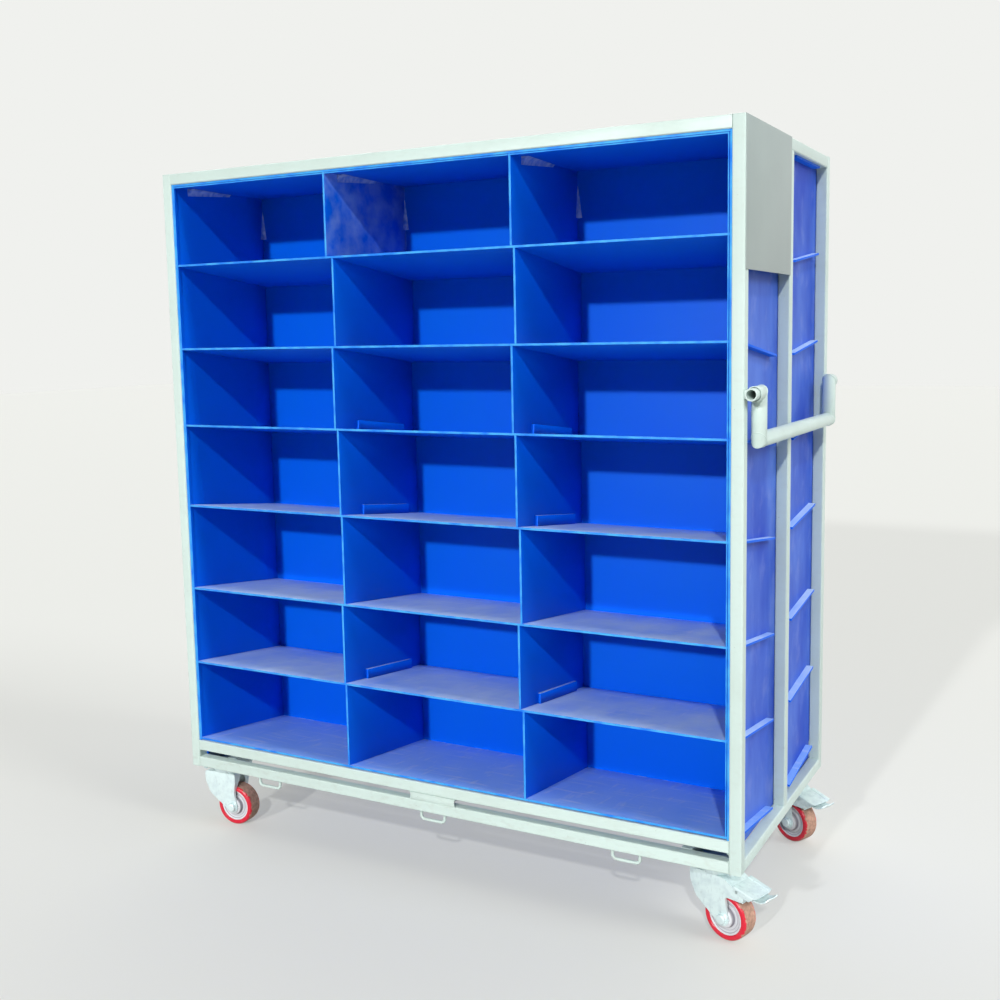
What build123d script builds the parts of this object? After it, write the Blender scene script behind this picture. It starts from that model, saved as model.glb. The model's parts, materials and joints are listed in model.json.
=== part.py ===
"""Parts handling trolley: a steel tube frame on four castors, with sloping blue sheet compartments
on both long sides and a drop handle on the right end. Millimetres, +Z up, front towards -Y."""
from build123d import *
import math
import os

# Frame, outside sizes
frame_width = 1800
frame_depth = 840
frame_height = 1844
tube_size = 32
tube_wall = 2
tube_corner = 2.5
cap_thickness = 2

# Base: two rails one above the other on each long side, with a slot between them
base_slot = 22
slot_plate_width = 145
slot_plate_thickness = 4
cross_tube_inset = 66
mount_plate_thickness = 6
mount_plate_width = 132
mount_plate_depth = 140

# Rod loops under the base rails
loop_rod = 8
rod_side_count = 8
loop_width = 85
loop_drop = 30
loop_bend = 14
loop_height = tube_size / 2
loop_place_shares = (0.1675, 0.496, 0.826)

# Sign plate on the right end, bare
end_plate_height = 354
end_plate_thickness = 2
end_plate_edge = 3

# Blue sheet compartments, the same on the front and the rear
sheet = 6
sheet_setback = 4
shelf_tilt = 7
back_gap = 2
seam = 0.1
seat_gap = 0.2
column_count = 3
# Front edges of the shelves above the lowest one, as shares of the height up to the top panel
shelf_height_shares = (0.145, 0.283, 0.435, 0.580, 0.716, 0.862)
# How far each divider stands off an even spacing, in shares of the width, from the lowest row up
divider_shift_shares = (
    (0.001, 0.004), (-0.001, -0.002), (0.004, 0.003), (0.002, -0.002),
    (-0.003, -0.006), (0.003, 0.001), (-0.009, -0.004))
tab_start = 72
tab_end = 332
tab_reach = 20
strip_length = 240
strip_thickness = 9
strip_height = 29
strip_setback = 100
# Rows that have strips, counted from the lowest
strip_row_counts = (2, 4, 5)

# Drop handle on the right end
handle_below_plate = 293
handle_drop = 112
handle_pipe = 38
handle_wall = 2
handle_fit = 1.6
stub_wall = 3.5
# Distances in from the front face and from the rear face
stub_setbacks = (-10, 18)
packer_setbacks = (0, 18)
stub_end = 58
arm_inset = 60
packer_thickness = 4.5
packer_length = 14
packer_height = 20
sleeve_gap = 2

# Castors: the overall height from the mounting plate to the floor, and their places
castor_height = 199
castor_inset_y = 88
left_castor_inset = 68
right_castor_inset = 87
castor_trail = 38
front_left_yaw = 5
rear_left_yaw = -8
front_right_yaw = -17
rear_right_yaw = -25

# Castor top plate, race and king pin
plate_length = 125
plate_depth = 112
plate_thickness = 4
plate_corner = 8
nut_spacing_x = 100
nut_spacing_y = 90
nut_flats = 17
nut_height = 13
hex_side_count = 6
race_size = 86
race_height = 21
race_gap = 0.6
king_pin_size = 12
king_pin_flats = 24
king_pin_nut_height = 5
pin_clearance = 0.1

# Fork: pressed sheet, drawn from the side about the swivel axis
fork_width = 76
fork_sheet = 4
fork_edge = 5
fork_nose = 19
fork_lead = 62
fork_lead_drop = 32
fork_waist = 44
fork_waist_drop = 72
fork_back = 52
fork_back_waist = 46
fork_back_waist_drop = 66
hood_roof_start = 42
hood_roof_end = 98
hood_roof_drop = 32
hood_reach = 103
hood_depth = 49
hood_notch = 46
hood_slope = 12

# Axle
axle_size = 12
axle_head_flats = 19
axle_head_height = 8
axle_nut_height = 10

# Wheel
wheel_size = 127
wheel_width = 52
tread_round = 5
core_size = 98
rim_width = 46
hub_size = 50
hub_width = 66.6
bearing_size = 24

# Brake pedal
pedal_pivot_x = 84
pedal_pivot_drop = 48
pedal_pin = 8
pedal_sheet = 3
pedal_inner_x = 74
pedal_inner_drop = 34
pedal_outer_x = 138
pedal_outer_drop = 51
pedal_side_gap = 0.6
pedal_flange_depth = 17
pedal_flange_end = 120
tongue_root_x = 113
tongue_root_drop = 60
tongue_low_x = 142
tongue_low_drop = 65
tongue_tip_x = 168
tongue_tip_drop = 51
tongue_width = 56
shoe_start_x = 72
shoe_end_x = 86
shoe_gap = 4.3
shoe_width = 36

# Sizes worked out from the ones above
base_height = 2 * tube_size + base_slot
shelf_front = sheet_setback
shelf_back = frame_depth / 2 - back_gap - sheet - seam
slope = math.tan(math.radians(shelf_tilt))
sheet_rise = sheet / math.cos(math.radians(shelf_tilt))
lowest_shelf = base_height + seat_gap + sheet_rise + (tube_size - shelf_front) * slope
top_panel_top = frame_height - tube_size
sheet_left = tube_size + seam
sheet_right = frame_width - tube_size - seam
shelf_levels = [lowest_shelf] + [
    lowest_shelf + share * (top_panel_top - lowest_shelf) for share in shelf_height_shares]
handle_height = frame_height - end_plate_height - handle_below_plate
handle_x = frame_width + packer_thickness + (handle_pipe / 2 - handle_wall - handle_fit)
axle_drop = castor_height - wheel_size / 2
crown_top = plate_thickness + race_height + race_gap
leg_outside = fork_width / 2
leg_inside = leg_outside - fork_sheet


def tube_outline():
    """Outside of the square tube, with its corners broken."""
    square = Rectangle(tube_size, tube_size)
    return chamfer(square.vertices(), tube_corner)


def tube_between(start, end):
    """Square tube along one axis, from the middle of one end to the middle of the other."""
    spans = [abs(b - a) for a, b in zip(start, end)]
    middle = [(a + b) / 2 for a, b in zip(start, end)]
    turn = (Rot(0, 90, 0), Rot(90, 0, 0), Rot(0, 0, 0))[spans.index(max(spans))]
    bore = tube_size - 2 * tube_wall
    section = tube_outline() - Rectangle(bore, bore)
    return Pos(*middle) * turn * extrude(section, max(spans) / 2, both=True)


def block(low, high):
    """Plain block between its lowest and highest corners."""
    size = [b - a for a, b in zip(low, high)]
    return Pos(*[(a + b) / 2 for a, b in zip(low, high)]) * Box(*size)


def at_depth(y, rear):
    """Distance in from the front face, or from the rear face on the rear side."""
    return frame_depth - y if rear else y


def sheet_panel(points, left, right, rear):
    """Sheet drawn in depth and height, and run along the width."""
    outline = make_face(Polyline([(at_depth(y, rear), z) for y, z in points], close=True))
    return extrude(Plane.YZ.offset(left) * outline, right - left, dir=(1, 0, 0))


def dropped(level, y):
    """Height of a sloping shelf's top face at a depth."""
    return level - (y - shelf_front) * slope


def posts():
    """Corner posts by name, each closed by a cap at both ends."""
    half = tube_size / 2
    places = {
        "front_left_post": (half, half),
        "front_right_post": (frame_width - half, half),
        "rear_left_post": (half, frame_depth - half),
        "rear_right_post": (frame_width - half, frame_depth - half)}
    tubes = {}
    caps = []
    for name, (x, y) in places.items():
        tubes[name] = [tube_between((x, y, cap_thickness), (x, y, frame_height - cap_thickness))]
        for z in (cap_thickness / 2, frame_height - cap_thickness / 2):
            caps.append(Pos(x, y, z) * extrude(tube_outline(), cap_thickness / 2, both=True))
    tubes["post_caps"] = caps
    return tubes


def frame_rails():
    """Rails of the top and the base, and the mid posts of the two ends."""
    half = tube_size / 2
    left, right = tube_size, frame_width - tube_size
    near, far = tube_size, frame_depth - tube_size
    top = frame_height - half
    upper = base_height - half
    rails = {}
    for side, y in (("front", half), ("rear", frame_depth - half)):
        rails[side + "_top_rail"] = [tube_between((left, y, top), (right, y, top))]
        rails[side + "_upper_base_rail"] = [tube_between((left, y, upper), (right, y, upper))]
        rails[side + "_lower_base_rail"] = [tube_between((left, y, half), (right, y, half))]
    ends = (half, frame_width - half)
    rails["end_top_rails"] = [tube_between((x, near, top), (x, far, top)) for x in ends]
    rails["end_base_rails"] = [tube_between((x, near, half), (x, far, half)) for x in ends]
    middle = frame_depth / 2
    rails["mid_posts"] = [
        tube_between((x, middle, tube_size), (x, middle, frame_height - tube_size)) for x in ends]
    cross = (left_castor_inset + cross_tube_inset, frame_width / 2,
             frame_width - right_castor_inset - cross_tube_inset)
    rails["base_cross_tubes"] = [tube_between((x, near, half), (x, far, half)) for x in cross]
    return rails


def slot_plates():
    """Plates that close the middle of the slot between the base rails."""
    plates = []
    for rear in (False, True):
        outline = [(0, tube_size), (slot_plate_thickness, tube_size),
                   (slot_plate_thickness, tube_size + base_slot), (0, tube_size + base_slot)]
        left = (frame_width - slot_plate_width) / 2
        plates.append(sheet_panel(outline, left, left + slot_plate_width, rear))
    return plates


def castor_places():
    """Name, swivel axis, yaw and brake of each castor."""
    left, right = left_castor_inset, frame_width - right_castor_inset
    near, far = castor_inset_y, frame_depth - castor_inset_y
    return (("front_left", left, near, front_left_yaw, False),
            ("rear_left", left, far, rear_left_yaw, False),
            ("front_right", right, near, front_right_yaw, True),
            ("rear_right", right, far, rear_right_yaw, True))


def mount_plates():
    """Plates welded under the base that carry the castors."""
    plate = Box(mount_plate_width, mount_plate_depth, mount_plate_thickness)
    return [Pos(x, y, -mount_plate_thickness / 2) * plate for _, x, y, _, _ in castor_places()]


def end_plate():
    """Bare plate on the upper front half of the right end."""
    low = (frame_width, end_plate_edge, frame_height - end_plate_height)
    high = (frame_width + end_plate_thickness, (frame_depth - tube_size) / 2, frame_height)
    return [block(low, high)]


def rod_loop():
    """U of bent rod, drawn with eight sides and cut corners, that hangs from the plane z = 0."""
    half = (loop_width - loop_rod) / 2
    low = -loop_drop + loop_rod / 2
    path = Polyline((-half, 0, 0), (-half, 0, low + loop_bend), (loop_bend - half, 0, low),
                    (half - loop_bend, 0, low), (half, 0, low + loop_bend), (half, 0, 0))
    section = RegularPolygon(loop_rod / 2, rod_side_count)
    start = Plane((-half, 0, 0), z_dir=(0, 0, -1))
    return sweep(start * section, path, transition=Transition.RIGHT)


def rod_loops(rear):
    """Three loops under one lower base rail."""
    y = at_depth(loop_height, rear)
    return [Pos(share * frame_width, y, 0) * rod_loop() for share in loop_place_shares]


def tab_band(level, grow, tilt):
    """Outline of a shelf's tab in depth and height, grown all round by a clearance."""
    rise = sheet_rise if tilt else sheet
    fall = slope if tilt else 0
    y0, y1 = tab_start - grow, tab_end + grow
    z0, z1 = level - (y0 - shelf_front) * fall, level - (y1 - shelf_front) * fall
    return [(y0, z0 + grow), (y1, z1 + grow), (y1, z1 - rise - grow), (y0, z0 - rise - grow)]


def shelf(level, rear, tilt):
    """Shelf between the side panels, with the tabs that pass through them."""
    rise = sheet_rise if tilt else sheet
    back_level = dropped(level, shelf_back) if tilt else level
    outline = [(shelf_front, level), (shelf_back, back_level),
               (shelf_back, back_level - rise), (shelf_front, level - rise)]
    floor = sheet_panel(outline, sheet_left + sheet + seam, sheet_right - sheet - seam, rear)
    tabs = sheet_panel(tab_band(level, 0, tilt), sheet_left - tab_reach, sheet_right + tab_reach, rear)
    return floor + tabs


def side_panels(rear):
    """Two side panels with a slot for every tab, notched over the base rails."""
    foot = tube_size + seat_gap
    outline = [(shelf_front, base_height + seat_gap), (foot, base_height + seat_gap), (foot, foot),
               (shelf_back, foot), (shelf_back, top_panel_top - seam), (shelf_front, top_panel_top - seam)]
    panels = []
    for left in (sheet_left, sheet_right - sheet):
        panel = sheet_panel(outline, left, left + sheet, rear)
        for level in shelf_levels:
            panel -= sheet_panel(tab_band(level, seam, True), left - sheet, left + 2 * sheet, rear)
        top_slot = tab_band(top_panel_top - seam, seam, False)
        panels.append(panel - sheet_panel(top_slot, left - sheet, left + 2 * sheet, rear))
    return panels


def divider_left(row, column):
    """Left face of a divider, counted from the left, in a row counted from the lowest."""
    span = sheet_right - sheet_left
    return sheet_left + span * (column / column_count + divider_shift_shares[row][column - 1]) - sheet / 2


def dividers(rear):
    """Dividers between each shelf and the next, cut to the slope of both."""
    pieces = []
    for row, level in enumerate(shelf_levels):
        back = shelf_back - seam
        if row + 1 < len(shelf_levels):
            above = shelf_levels[row + 1] - sheet_rise
            top_front, top_back = above, dropped(above, back)
        else:
            top_front = top_back = top_panel_top - seam - sheet
        outline = [(shelf_front, level + seam), (back, dropped(level, back) + seam),
                   (back, top_back - seam), (shelf_front, top_front - seam)]
        for column in range(1, column_count):
            left = divider_left(row, column)
            pieces.append(sheet_panel(outline, left, left + sheet, rear))
    return pieces


def back_panels():
    """One upright panel behind each side's compartments."""
    panels = []
    for rear in (False, True):
        near = frame_depth / 2 - back_gap - sheet
        outline = [(near, tube_size + seat_gap), (near + sheet, tube_size + seat_gap),
                   (near + sheet, top_panel_top - seam), (near, top_panel_top - seam)]
        panels.append(sheet_panel(outline, sheet_left, sheet_right, rear))
    return panels


def foot_strips():
    """Strips on edge on the shelves, against the foot of some dividers."""
    strips = []
    for row_count in strip_row_counts:
        row = row_count - 1
        level = shelf_levels[row] + seam
        near, far = shelf_front + strip_setback, shelf_front + strip_setback + strip_length
        outline = [(near, dropped(level, near)), (far, dropped(level, far)),
                   (far, dropped(level, far) + strip_height), (near, dropped(level, near) + strip_height)]
        for column in range(1, column_count):
            left = divider_left(row, column) + sheet + seam
            strips.append(sheet_panel(outline, left, left + strip_thickness, False))
    return strips


def pipe_between(y0, y1, z0, z1, outside, wall):
    """Round pipe in the handle's plane, upright or along the depth."""
    length = abs(y1 - y0) + abs(z1 - z0)
    turn = Rot(0, 0, 0) if y0 == y1 else Rot(90, 0, 0)
    section = Circle(outside / 2) - Circle(outside / 2 - wall)
    return Pos(handle_x, (y0 + y1) / 2, (z0 + z1) / 2) * turn * extrude(section, length / 2, both=True)


def handle_stubs():
    """Stub pipes on the corner posts, each welded to a packer strip."""
    outside = handle_pipe - 2 * (handle_wall + handle_fit)
    pieces = []
    for rear in (False, True):
        near, far = at_depth(stub_setbacks[rear], rear), at_depth(stub_end, rear)
        pieces.append(pipe_between(near, far, handle_height, handle_height, outside, stub_wall))
        middle = at_depth(packer_setbacks[rear] + packer_length / 2, rear)
        low = (frame_width, middle - packer_length / 2, handle_height - packer_height / 2)
        high = (frame_width + packer_thickness - seam, middle + packer_length / 2,
                handle_height + packer_height / 2)
        pieces.append(block(low, high))
    return pieces


def mitred(pipe, corner_y, corner_z, lean, keep):
    """Part of a pipe on one side of a 45 degree cut through a corner of the handle."""
    cut = Plane((handle_x, corner_y, corner_z), x_dir=(1, 0, 0), z_dir=(0, lean, 1))
    return split(pipe, bisect_by=cut, keep=keep)


def handle():
    """Sleeves, arms and bar of one pipe size, mitred at the four corners."""
    top, bottom = handle_height, handle_height - handle_drop
    radius = handle_pipe / 2
    sleeves, arms = [], []
    bar = pipe_between(arm_inset - radius, frame_depth - arm_inset + radius, bottom, bottom,
                       handle_pipe, handle_wall)
    for rear, lean in ((False, 1), (True, -1)):
        y = at_depth(arm_inset, rear)
        start = at_depth(packer_setbacks[rear] + packer_length + sleeve_gap, rear)
        beyond = at_depth(arm_inset + radius, rear)
        sleeve = pipe_between(start, beyond, top, top, handle_pipe, handle_wall)
        sleeves.append(mitred(sleeve, y, top, -lean, Keep.TOP))
        arm = pipe_between(y, y, bottom - radius, top + radius, handle_pipe, handle_wall)
        arm = mitred(arm, y, top, -lean, Keep.BOTTOM)
        arms.append(mitred(arm, y, bottom, -lean, Keep.TOP))
        bar = mitred(bar, y, bottom, -lean, Keep.BOTTOM)
    return {"handle_sleeves": sleeves, "handle_arms": arms, "handle_bar": [bar]}


def castor_top_plate():
    """Top plate with the fixed race under it."""
    outline = Rectangle(plate_length, plate_depth)
    plate = extrude(chamfer(outline.vertices(), plate_corner), -plate_thickness)
    race = Pos(0, 0, -plate_thickness) * extrude(Circle(race_size / 2), -race_height)
    return plate + race


def castor_studs():
    """Studs under the top plate, drawn as their plain nuts."""
    nut = extrude(RegularPolygon(nut_flats / 2, hex_side_count, major_radius=False), -nut_height)
    places = GridLocations(nut_spacing_x, nut_spacing_y, 2, 2)
    return [Pos(0, 0, -plate_thickness) * place * nut for place in places]


def king_pin():
    """Pin under the race that the fork turns on, with a nut below the crown."""
    pin_length = race_gap + fork_sheet + race_gap / 2
    pin = extrude(Circle(king_pin_size / 2), -pin_length)
    nut = extrude(RegularPolygon(king_pin_flats / 2, hex_side_count, major_radius=False), -king_pin_nut_height)
    return Pos(0, 0, race_gap - crown_top) * (pin + Pos(0, 0, -pin_length) * nut)


def touch_point(point, centre, radius, side):
    """Where a straight line from a point touches a circle."""
    across, up = point[0] - centre[0], point[1] - centre[1]
    angle = math.atan2(up, across) + side * math.acos(radius / math.hypot(across, up))
    return centre[0] + radius * math.cos(angle), centre[1] + radius * math.sin(angle)


def fork_outline(braked):
    """Side view of the fork: crown, legs, nose round the axle and, with a brake, the hood."""
    top = -crown_top
    nose = (castor_trail, -axle_drop)
    waist = (-fork_waist, top - fork_waist_drop)
    front = [(-fork_lead, top), (-fork_lead, top - fork_lead_drop), waist,
             touch_point(waist, nose, fork_nose, 1)]
    if braked:
        notch = (hood_notch, top - hood_depth)
        back = [touch_point(notch, nose, fork_nose, -1), notch,
                (hood_roof_end, top - hood_depth), (hood_reach, top - hood_depth + hood_slope),
                (hood_roof_end, top - hood_roof_drop), (hood_roof_start, top)]
    else:
        waist = (fork_back_waist, top - fork_back_waist_drop)
        back = [touch_point(waist, nose, fork_nose, -1), waist,
                (fork_back, top - fork_lead_drop), (fork_back, top)]
    return make_face(Polyline(front + back, close=True)) + Pos(*nose) * Circle(fork_nose)


def side_extrude(outline, width):
    """Side-view outline spread equally to both sides of the castor's middle plane."""
    return extrude(Plane.XZ * outline, width / 2, both=True)


def fork(braked):
    """Pressed fork: a flat crown under the race, two legs and, with a brake, a hood."""
    outline = fork_outline(braked)
    solid = side_extrude(outline, fork_width)
    crown_edges = solid.edges().filter_by(Axis.X).group_by(Axis.Z)[-1]
    solid = chamfer(crown_edges, fork_edge)
    inside = sum((Pos(shift, -fork_sheet) * outline for shift in (-fork_nose, fork_nose)),
                 Pos(0, -fork_sheet) * outline)
    solid -= side_extrude(inside, 2 * leg_inside)
    bore = extrude(Circle(king_pin_size / 2 + pin_clearance), -fork_sheet)
    solid -= Pos(0, 0, -crown_top) * bore
    axle_hole = Pos(castor_trail, -axle_drop) * Circle(axle_size / 2 + pin_clearance)
    solid -= side_extrude(axle_hole, fork_width)
    if braked:
        pivot = Pos(pedal_pivot_x, -pedal_pivot_drop) * Circle(pedal_pin / 2 + pin_clearance)
        solid -= side_extrude(pivot, fork_width)
    return solid


def axle():
    """Axle bolt through the fork, with its nut."""
    shank = side_extrude(Circle(axle_size / 2), fork_width)
    flats = RegularPolygon(axle_head_flats / 2, hex_side_count, major_radius=False)
    head = extrude(Plane.XZ.offset(leg_outside) * flats, axle_head_height)
    nut = extrude(Plane.XZ.offset(-leg_outside) * flats, -axle_nut_height)
    return Pos(castor_trail, 0, -axle_drop) * (shank + head + nut)


def turned(profile):
    """Wheel part turned about the axle from a profile of radius and width."""
    return Pos(castor_trail, 0, -axle_drop) * revolve(make_face(Polyline(profile, close=True)), Axis.Y)


def mirrored_profile(half):
    """Closed profile from its outer half, given from one side towards the middle plane."""
    return half + [(radius, -width) for radius, width in reversed(half)]


def tyre():
    """Polyurethane tyre with its shoulders broken."""
    section = Pos((core_size + wheel_size) / 4, 0) * Rectangle((wheel_size - core_size) / 2, wheel_width)
    shoulders = section.vertices().group_by(Axis.X)[-1]
    section = chamfer(shoulders, tread_round)
    return Pos(castor_trail, 0, -axle_drop) * revolve(section, Axis.Y)


def wheel_core():
    """Moulded core, falling from the ends of the hub to the rim on both faces."""
    half = [(bearing_size / 2 + seam, hub_width / 2), (hub_size / 2, hub_width / 2),
            (core_size / 2 - seam, rim_width / 2)]
    return turned(mirrored_profile(half))


def bearings():
    """Bearings through the hub, as one ring."""
    bore = axle_size / 2 + pin_clearance
    return turned(mirrored_profile([(bore, hub_width / 2), (bearing_size / 2, hub_width / 2)]))


def brake_pedal():
    """Pressed pedal over the hood, with its flanges, pin, tongue and brake shoe."""
    lean = (pedal_outer_drop - pedal_inner_drop) / (pedal_outer_x - pedal_inner_x)
    outside = leg_outside + pedal_side_gap + pedal_sheet
    flange_drop = pedal_inner_drop + lean * (pedal_flange_end - pedal_inner_x)
    plate = make_face(Polyline([
        (pedal_inner_x, -pedal_inner_drop), (pedal_outer_x, -pedal_outer_drop),
        (pedal_outer_x, -pedal_outer_drop - pedal_sheet), (pedal_inner_x, -pedal_inner_drop - pedal_sheet)],
        close=True))
    flange = make_face(Polyline([
        (pedal_inner_x, -pedal_inner_drop), (pedal_outer_x, -pedal_outer_drop),
        (pedal_outer_x, -pedal_outer_drop - pedal_sheet), (pedal_flange_end, -flange_drop - pedal_flange_depth),
        (pedal_inner_x, -pedal_inner_drop - pedal_flange_depth)], close=True))
    pedal = side_extrude(plate, 2 * outside)
    for side in (-1, 1):
        middle = side * (outside - pedal_sheet / 2)
        pedal += Pos(0, middle, 0) * side_extrude(flange, pedal_sheet)
    pedal += side_extrude(Pos(pedal_pivot_x, -pedal_pivot_drop) * Circle(pedal_pin / 2), 2 * outside)
    tongue = make_face(Polyline([
        (tongue_root_x, -flange_drop), (tongue_root_x, -tongue_root_drop - pedal_sheet),
        (tongue_low_x, -tongue_low_drop - pedal_sheet), (tongue_tip_x, -tongue_tip_drop - pedal_sheet / 2),
        (tongue_tip_x, -tongue_tip_drop), (tongue_low_x, -tongue_low_drop),
        (tongue_root_x + pedal_sheet, -tongue_root_drop), (tongue_root_x + pedal_sheet, -flange_drop)],
        close=True))
    pedal += side_extrude(tongue, tongue_width)
    shoe = make_face(Polyline([
        (shoe_start_x, -pedal_pivot_drop), (shoe_end_x, -pedal_pivot_drop),
        (shoe_end_x, -axle_drop), (shoe_start_x, -axle_drop)], close=True))
    shoe -= Pos(castor_trail, -axle_drop) * Circle(wheel_size / 2 + shoe_gap)
    return pedal + side_extrude(shoe, shoe_width)


def castor_parts():
    """All castors: fixed parts grouped by kind, turning parts by castor."""
    parts = {"castor_top_plates": [], "castor_studs": [], "king_pins": []}
    for name, x, y, yaw, braked in castor_places():
        still = Pos(x, y, -mount_plate_thickness)
        turned_by = still * Rot(0, 0, yaw)
        parts["castor_top_plates"].append(still * castor_top_plate())
        parts["castor_studs"] += [still * nut for nut in castor_studs()]
        parts["king_pins"].append(still * king_pin())
        parts[name + "_fork"] = [turned_by * fork(braked)]
        parts[name + "_axle"] = [turned_by * axle()]
        parts[name + "_wheel_core"] = [turned_by * wheel_core()]
        parts[name + "_tyre"] = [turned_by * tyre()]
        parts[name + "_bearings"] = [turned_by * bearings()]
        if braked:
            parts[name + "_brake_pedal"] = [turned_by * brake_pedal()]
    return parts


def sheet_parts():
    """Blue compartments of both sides."""
    parts = {"back_panels": back_panels(), "foot_strips": foot_strips(), "top_panels": []}
    for side, rear in (("front", False), ("rear", True)):
        parts[side + "_side_panels"] = side_panels(rear)
        parts[side + "_shelves"] = [shelf(level, rear, True) for level in shelf_levels]
        parts[side + "_dividers"] = dividers(rear)
        parts["top_panels"].append(shelf(top_panel_top - seam, rear, False))
    return parts


def build_parts():
    """Every node of the trolley, with the frame's front left lower corner at the origin."""
    parts = {}
    parts.update(posts())
    parts.update(frame_rails())
    parts["slot_plates"] = slot_plates()
    parts["mount_plates"] = mount_plates()
    parts["end_plate"] = end_plate()
    parts["front_loops"] = rod_loops(False)
    parts["rear_loops"] = rod_loops(True)
    parts["handle_stubs"] = handle_stubs()
    parts.update(handle())
    parts.update(sheet_parts())
    parts.update(castor_parts())
    return parts


nodes = build_parts()
whole = Compound([solid for solids in nodes.values() for solid in solids]).bounding_box()
origin = Pos(-(whole.min.X + whole.max.X) / 2, -(whole.min.Y + whole.max.Y) / 2, -whole.min.Z)
os.makedirs("parts", exist_ok=True)
for node, solids in nodes.items():
    export_step(Compound([origin * solid for solid in solids]), f"parts/{node}.step")
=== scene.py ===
import json
import math

import bmesh
import bpy
from mathutils import Matrix, Vector


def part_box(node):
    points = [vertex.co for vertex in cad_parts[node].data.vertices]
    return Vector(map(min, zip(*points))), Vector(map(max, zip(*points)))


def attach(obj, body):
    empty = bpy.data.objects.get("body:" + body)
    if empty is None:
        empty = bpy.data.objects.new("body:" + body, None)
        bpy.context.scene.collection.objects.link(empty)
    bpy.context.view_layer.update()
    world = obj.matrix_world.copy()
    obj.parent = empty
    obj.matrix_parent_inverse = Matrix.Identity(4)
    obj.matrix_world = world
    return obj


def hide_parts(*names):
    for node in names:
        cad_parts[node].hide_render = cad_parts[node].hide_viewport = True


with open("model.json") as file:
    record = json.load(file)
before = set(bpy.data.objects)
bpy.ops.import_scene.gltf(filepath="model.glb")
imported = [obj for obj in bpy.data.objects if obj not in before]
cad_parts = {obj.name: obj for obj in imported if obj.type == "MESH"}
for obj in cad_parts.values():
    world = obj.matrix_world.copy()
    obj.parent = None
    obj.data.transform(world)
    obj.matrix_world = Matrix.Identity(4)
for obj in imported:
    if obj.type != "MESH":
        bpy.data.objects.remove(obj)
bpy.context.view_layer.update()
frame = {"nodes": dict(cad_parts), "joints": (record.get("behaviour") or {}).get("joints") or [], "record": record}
nodes = frame["nodes"]
joints = {joint["name"]: joint for joint in frame["joints"]}
castors = [name[:-len("_wheel_spin")] for name in joints if name.endswith("_wheel_spin")]
openings = {opening["name"]: opening["box_m"] for opening in frame["record"]["physics"]["openings"]}
mm = 0.001  # the dictionaries below hold millimetres and degrees, unless a comment says otherwise
corner = Vector(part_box("post_caps")[0])  # front left lower corner of the steel frame
steel = {"width": 1800, "depth": 840, "tube": 32, "baseSlot": 22}


def place(x, y, z):  # from the corner of the steel frame
    return corner + Vector((x, y, z)) * mm


def hexColour(code):  # sRGB hex to linear
    parts = [int(code[i:i + 2], 16) / 255 for i in (0, 2, 4)]
    return [c / 12.92 if c <= 0.04045 else ((c + 0.055) / 1.055) ** 2.4 for c in parts] + [1]


def setInputs(tree, node, inputs):  # by name or in order. A node gives its first output, and text is a colour
    if not isinstance(inputs, dict):
        inputs = dict(zip([i for i, socket in enumerate(node.inputs) if socket.enabled], inputs))
    for name, value in inputs.items():
        if isinstance(value, bpy.types.Node):
            value = next(socket for socket in value.outputs if socket.enabled)
        if isinstance(value, bpy.types.NodeSocket):
            tree.links.new(value, node.inputs[name])
        else:
            node.inputs[name].default_value = hexColour(value) if isinstance(value, str) else value


def addNode(tree, kind, inputs=(), **settings):
    node = tree.nodes.new("ShaderNode" + kind)
    for name, value in settings.items():
        setattr(node, name, value)
    setInputs(tree, node, inputs)
    return node


def startMaterial(name):
    material = bpy.data.materials.new(name)
    material.use_nodes = True
    tree = material.node_tree
    return material, tree, tree.nodes["Principled BSDF"], addNode(tree, "TexCoord")


def layColours(tree, colour, *layers):  # each layer is a mask and the colour that it lays over those before
    for mask, above in layers:
        colour = addNode(tree, "Mix", (mask, colour, above), data_type="RGBA")
    return colour


def whereAll(tree, *masks):  # product of masks, 1 where all of them hold
    result = masks[0]
    for mask in masks[1:]:
        result = addNode(tree, "Math", (result, mask), operation="MULTIPLY")
    return result


def distanceFrom(tree, value, middle):
    return addNode(tree, "Math", (addNode(tree, "Math", (value, middle), operation="SUBTRACT"),),
                   operation="ABSOLUTE")


def blotches(tree, coords, size, low, high, top=1.0, stretch=(1, 1, 1), detail=4):
    # Noise with blotches of that size, of which the part from low to high becomes 0 to top
    spread = addNode(tree, "Mapping", {"Vector": coords.outputs["Object"], "Scale": stretch})
    noise = addNode(tree, "TexNoise", {"Vector": spread, "Scale": 1 / (size * mm), "Detail": detail})
    return addNode(tree, "MapRange", (noise, low, high, 0, top))


powderCoat = {
    "colour": "D3E6E0", "film": "C9DAD2", "grime": "B2B8AD", "chip": "7B7566", "plate": "A3B0AE",
    "roughness": 0.4, "filmRoughness": 0.55, "filmAmount": 0.6, "plateFilm": 0.15,
    "dirtyUpTo": 95, "dirtAbove": 0.3, "chipsFrom": 0.2, "chipsAbove": 0.5,
    "filmSpots": {"size": 160, "low": 0.42, "high": 0.75},
    "smearSpots": {"size": 30, "low": 0.52, "high": 0.8, "top": 0.4, "stretch": (1, 1, 2)},
    "chipSpots": {"size": 7, "low": 0.73, "high": 0.76, "top": 0.7},
    "peel": 2.5, "peelDetail": 2, "bump": {"Strength": 0.12, "Distance": 0.15 * mm}}


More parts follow.
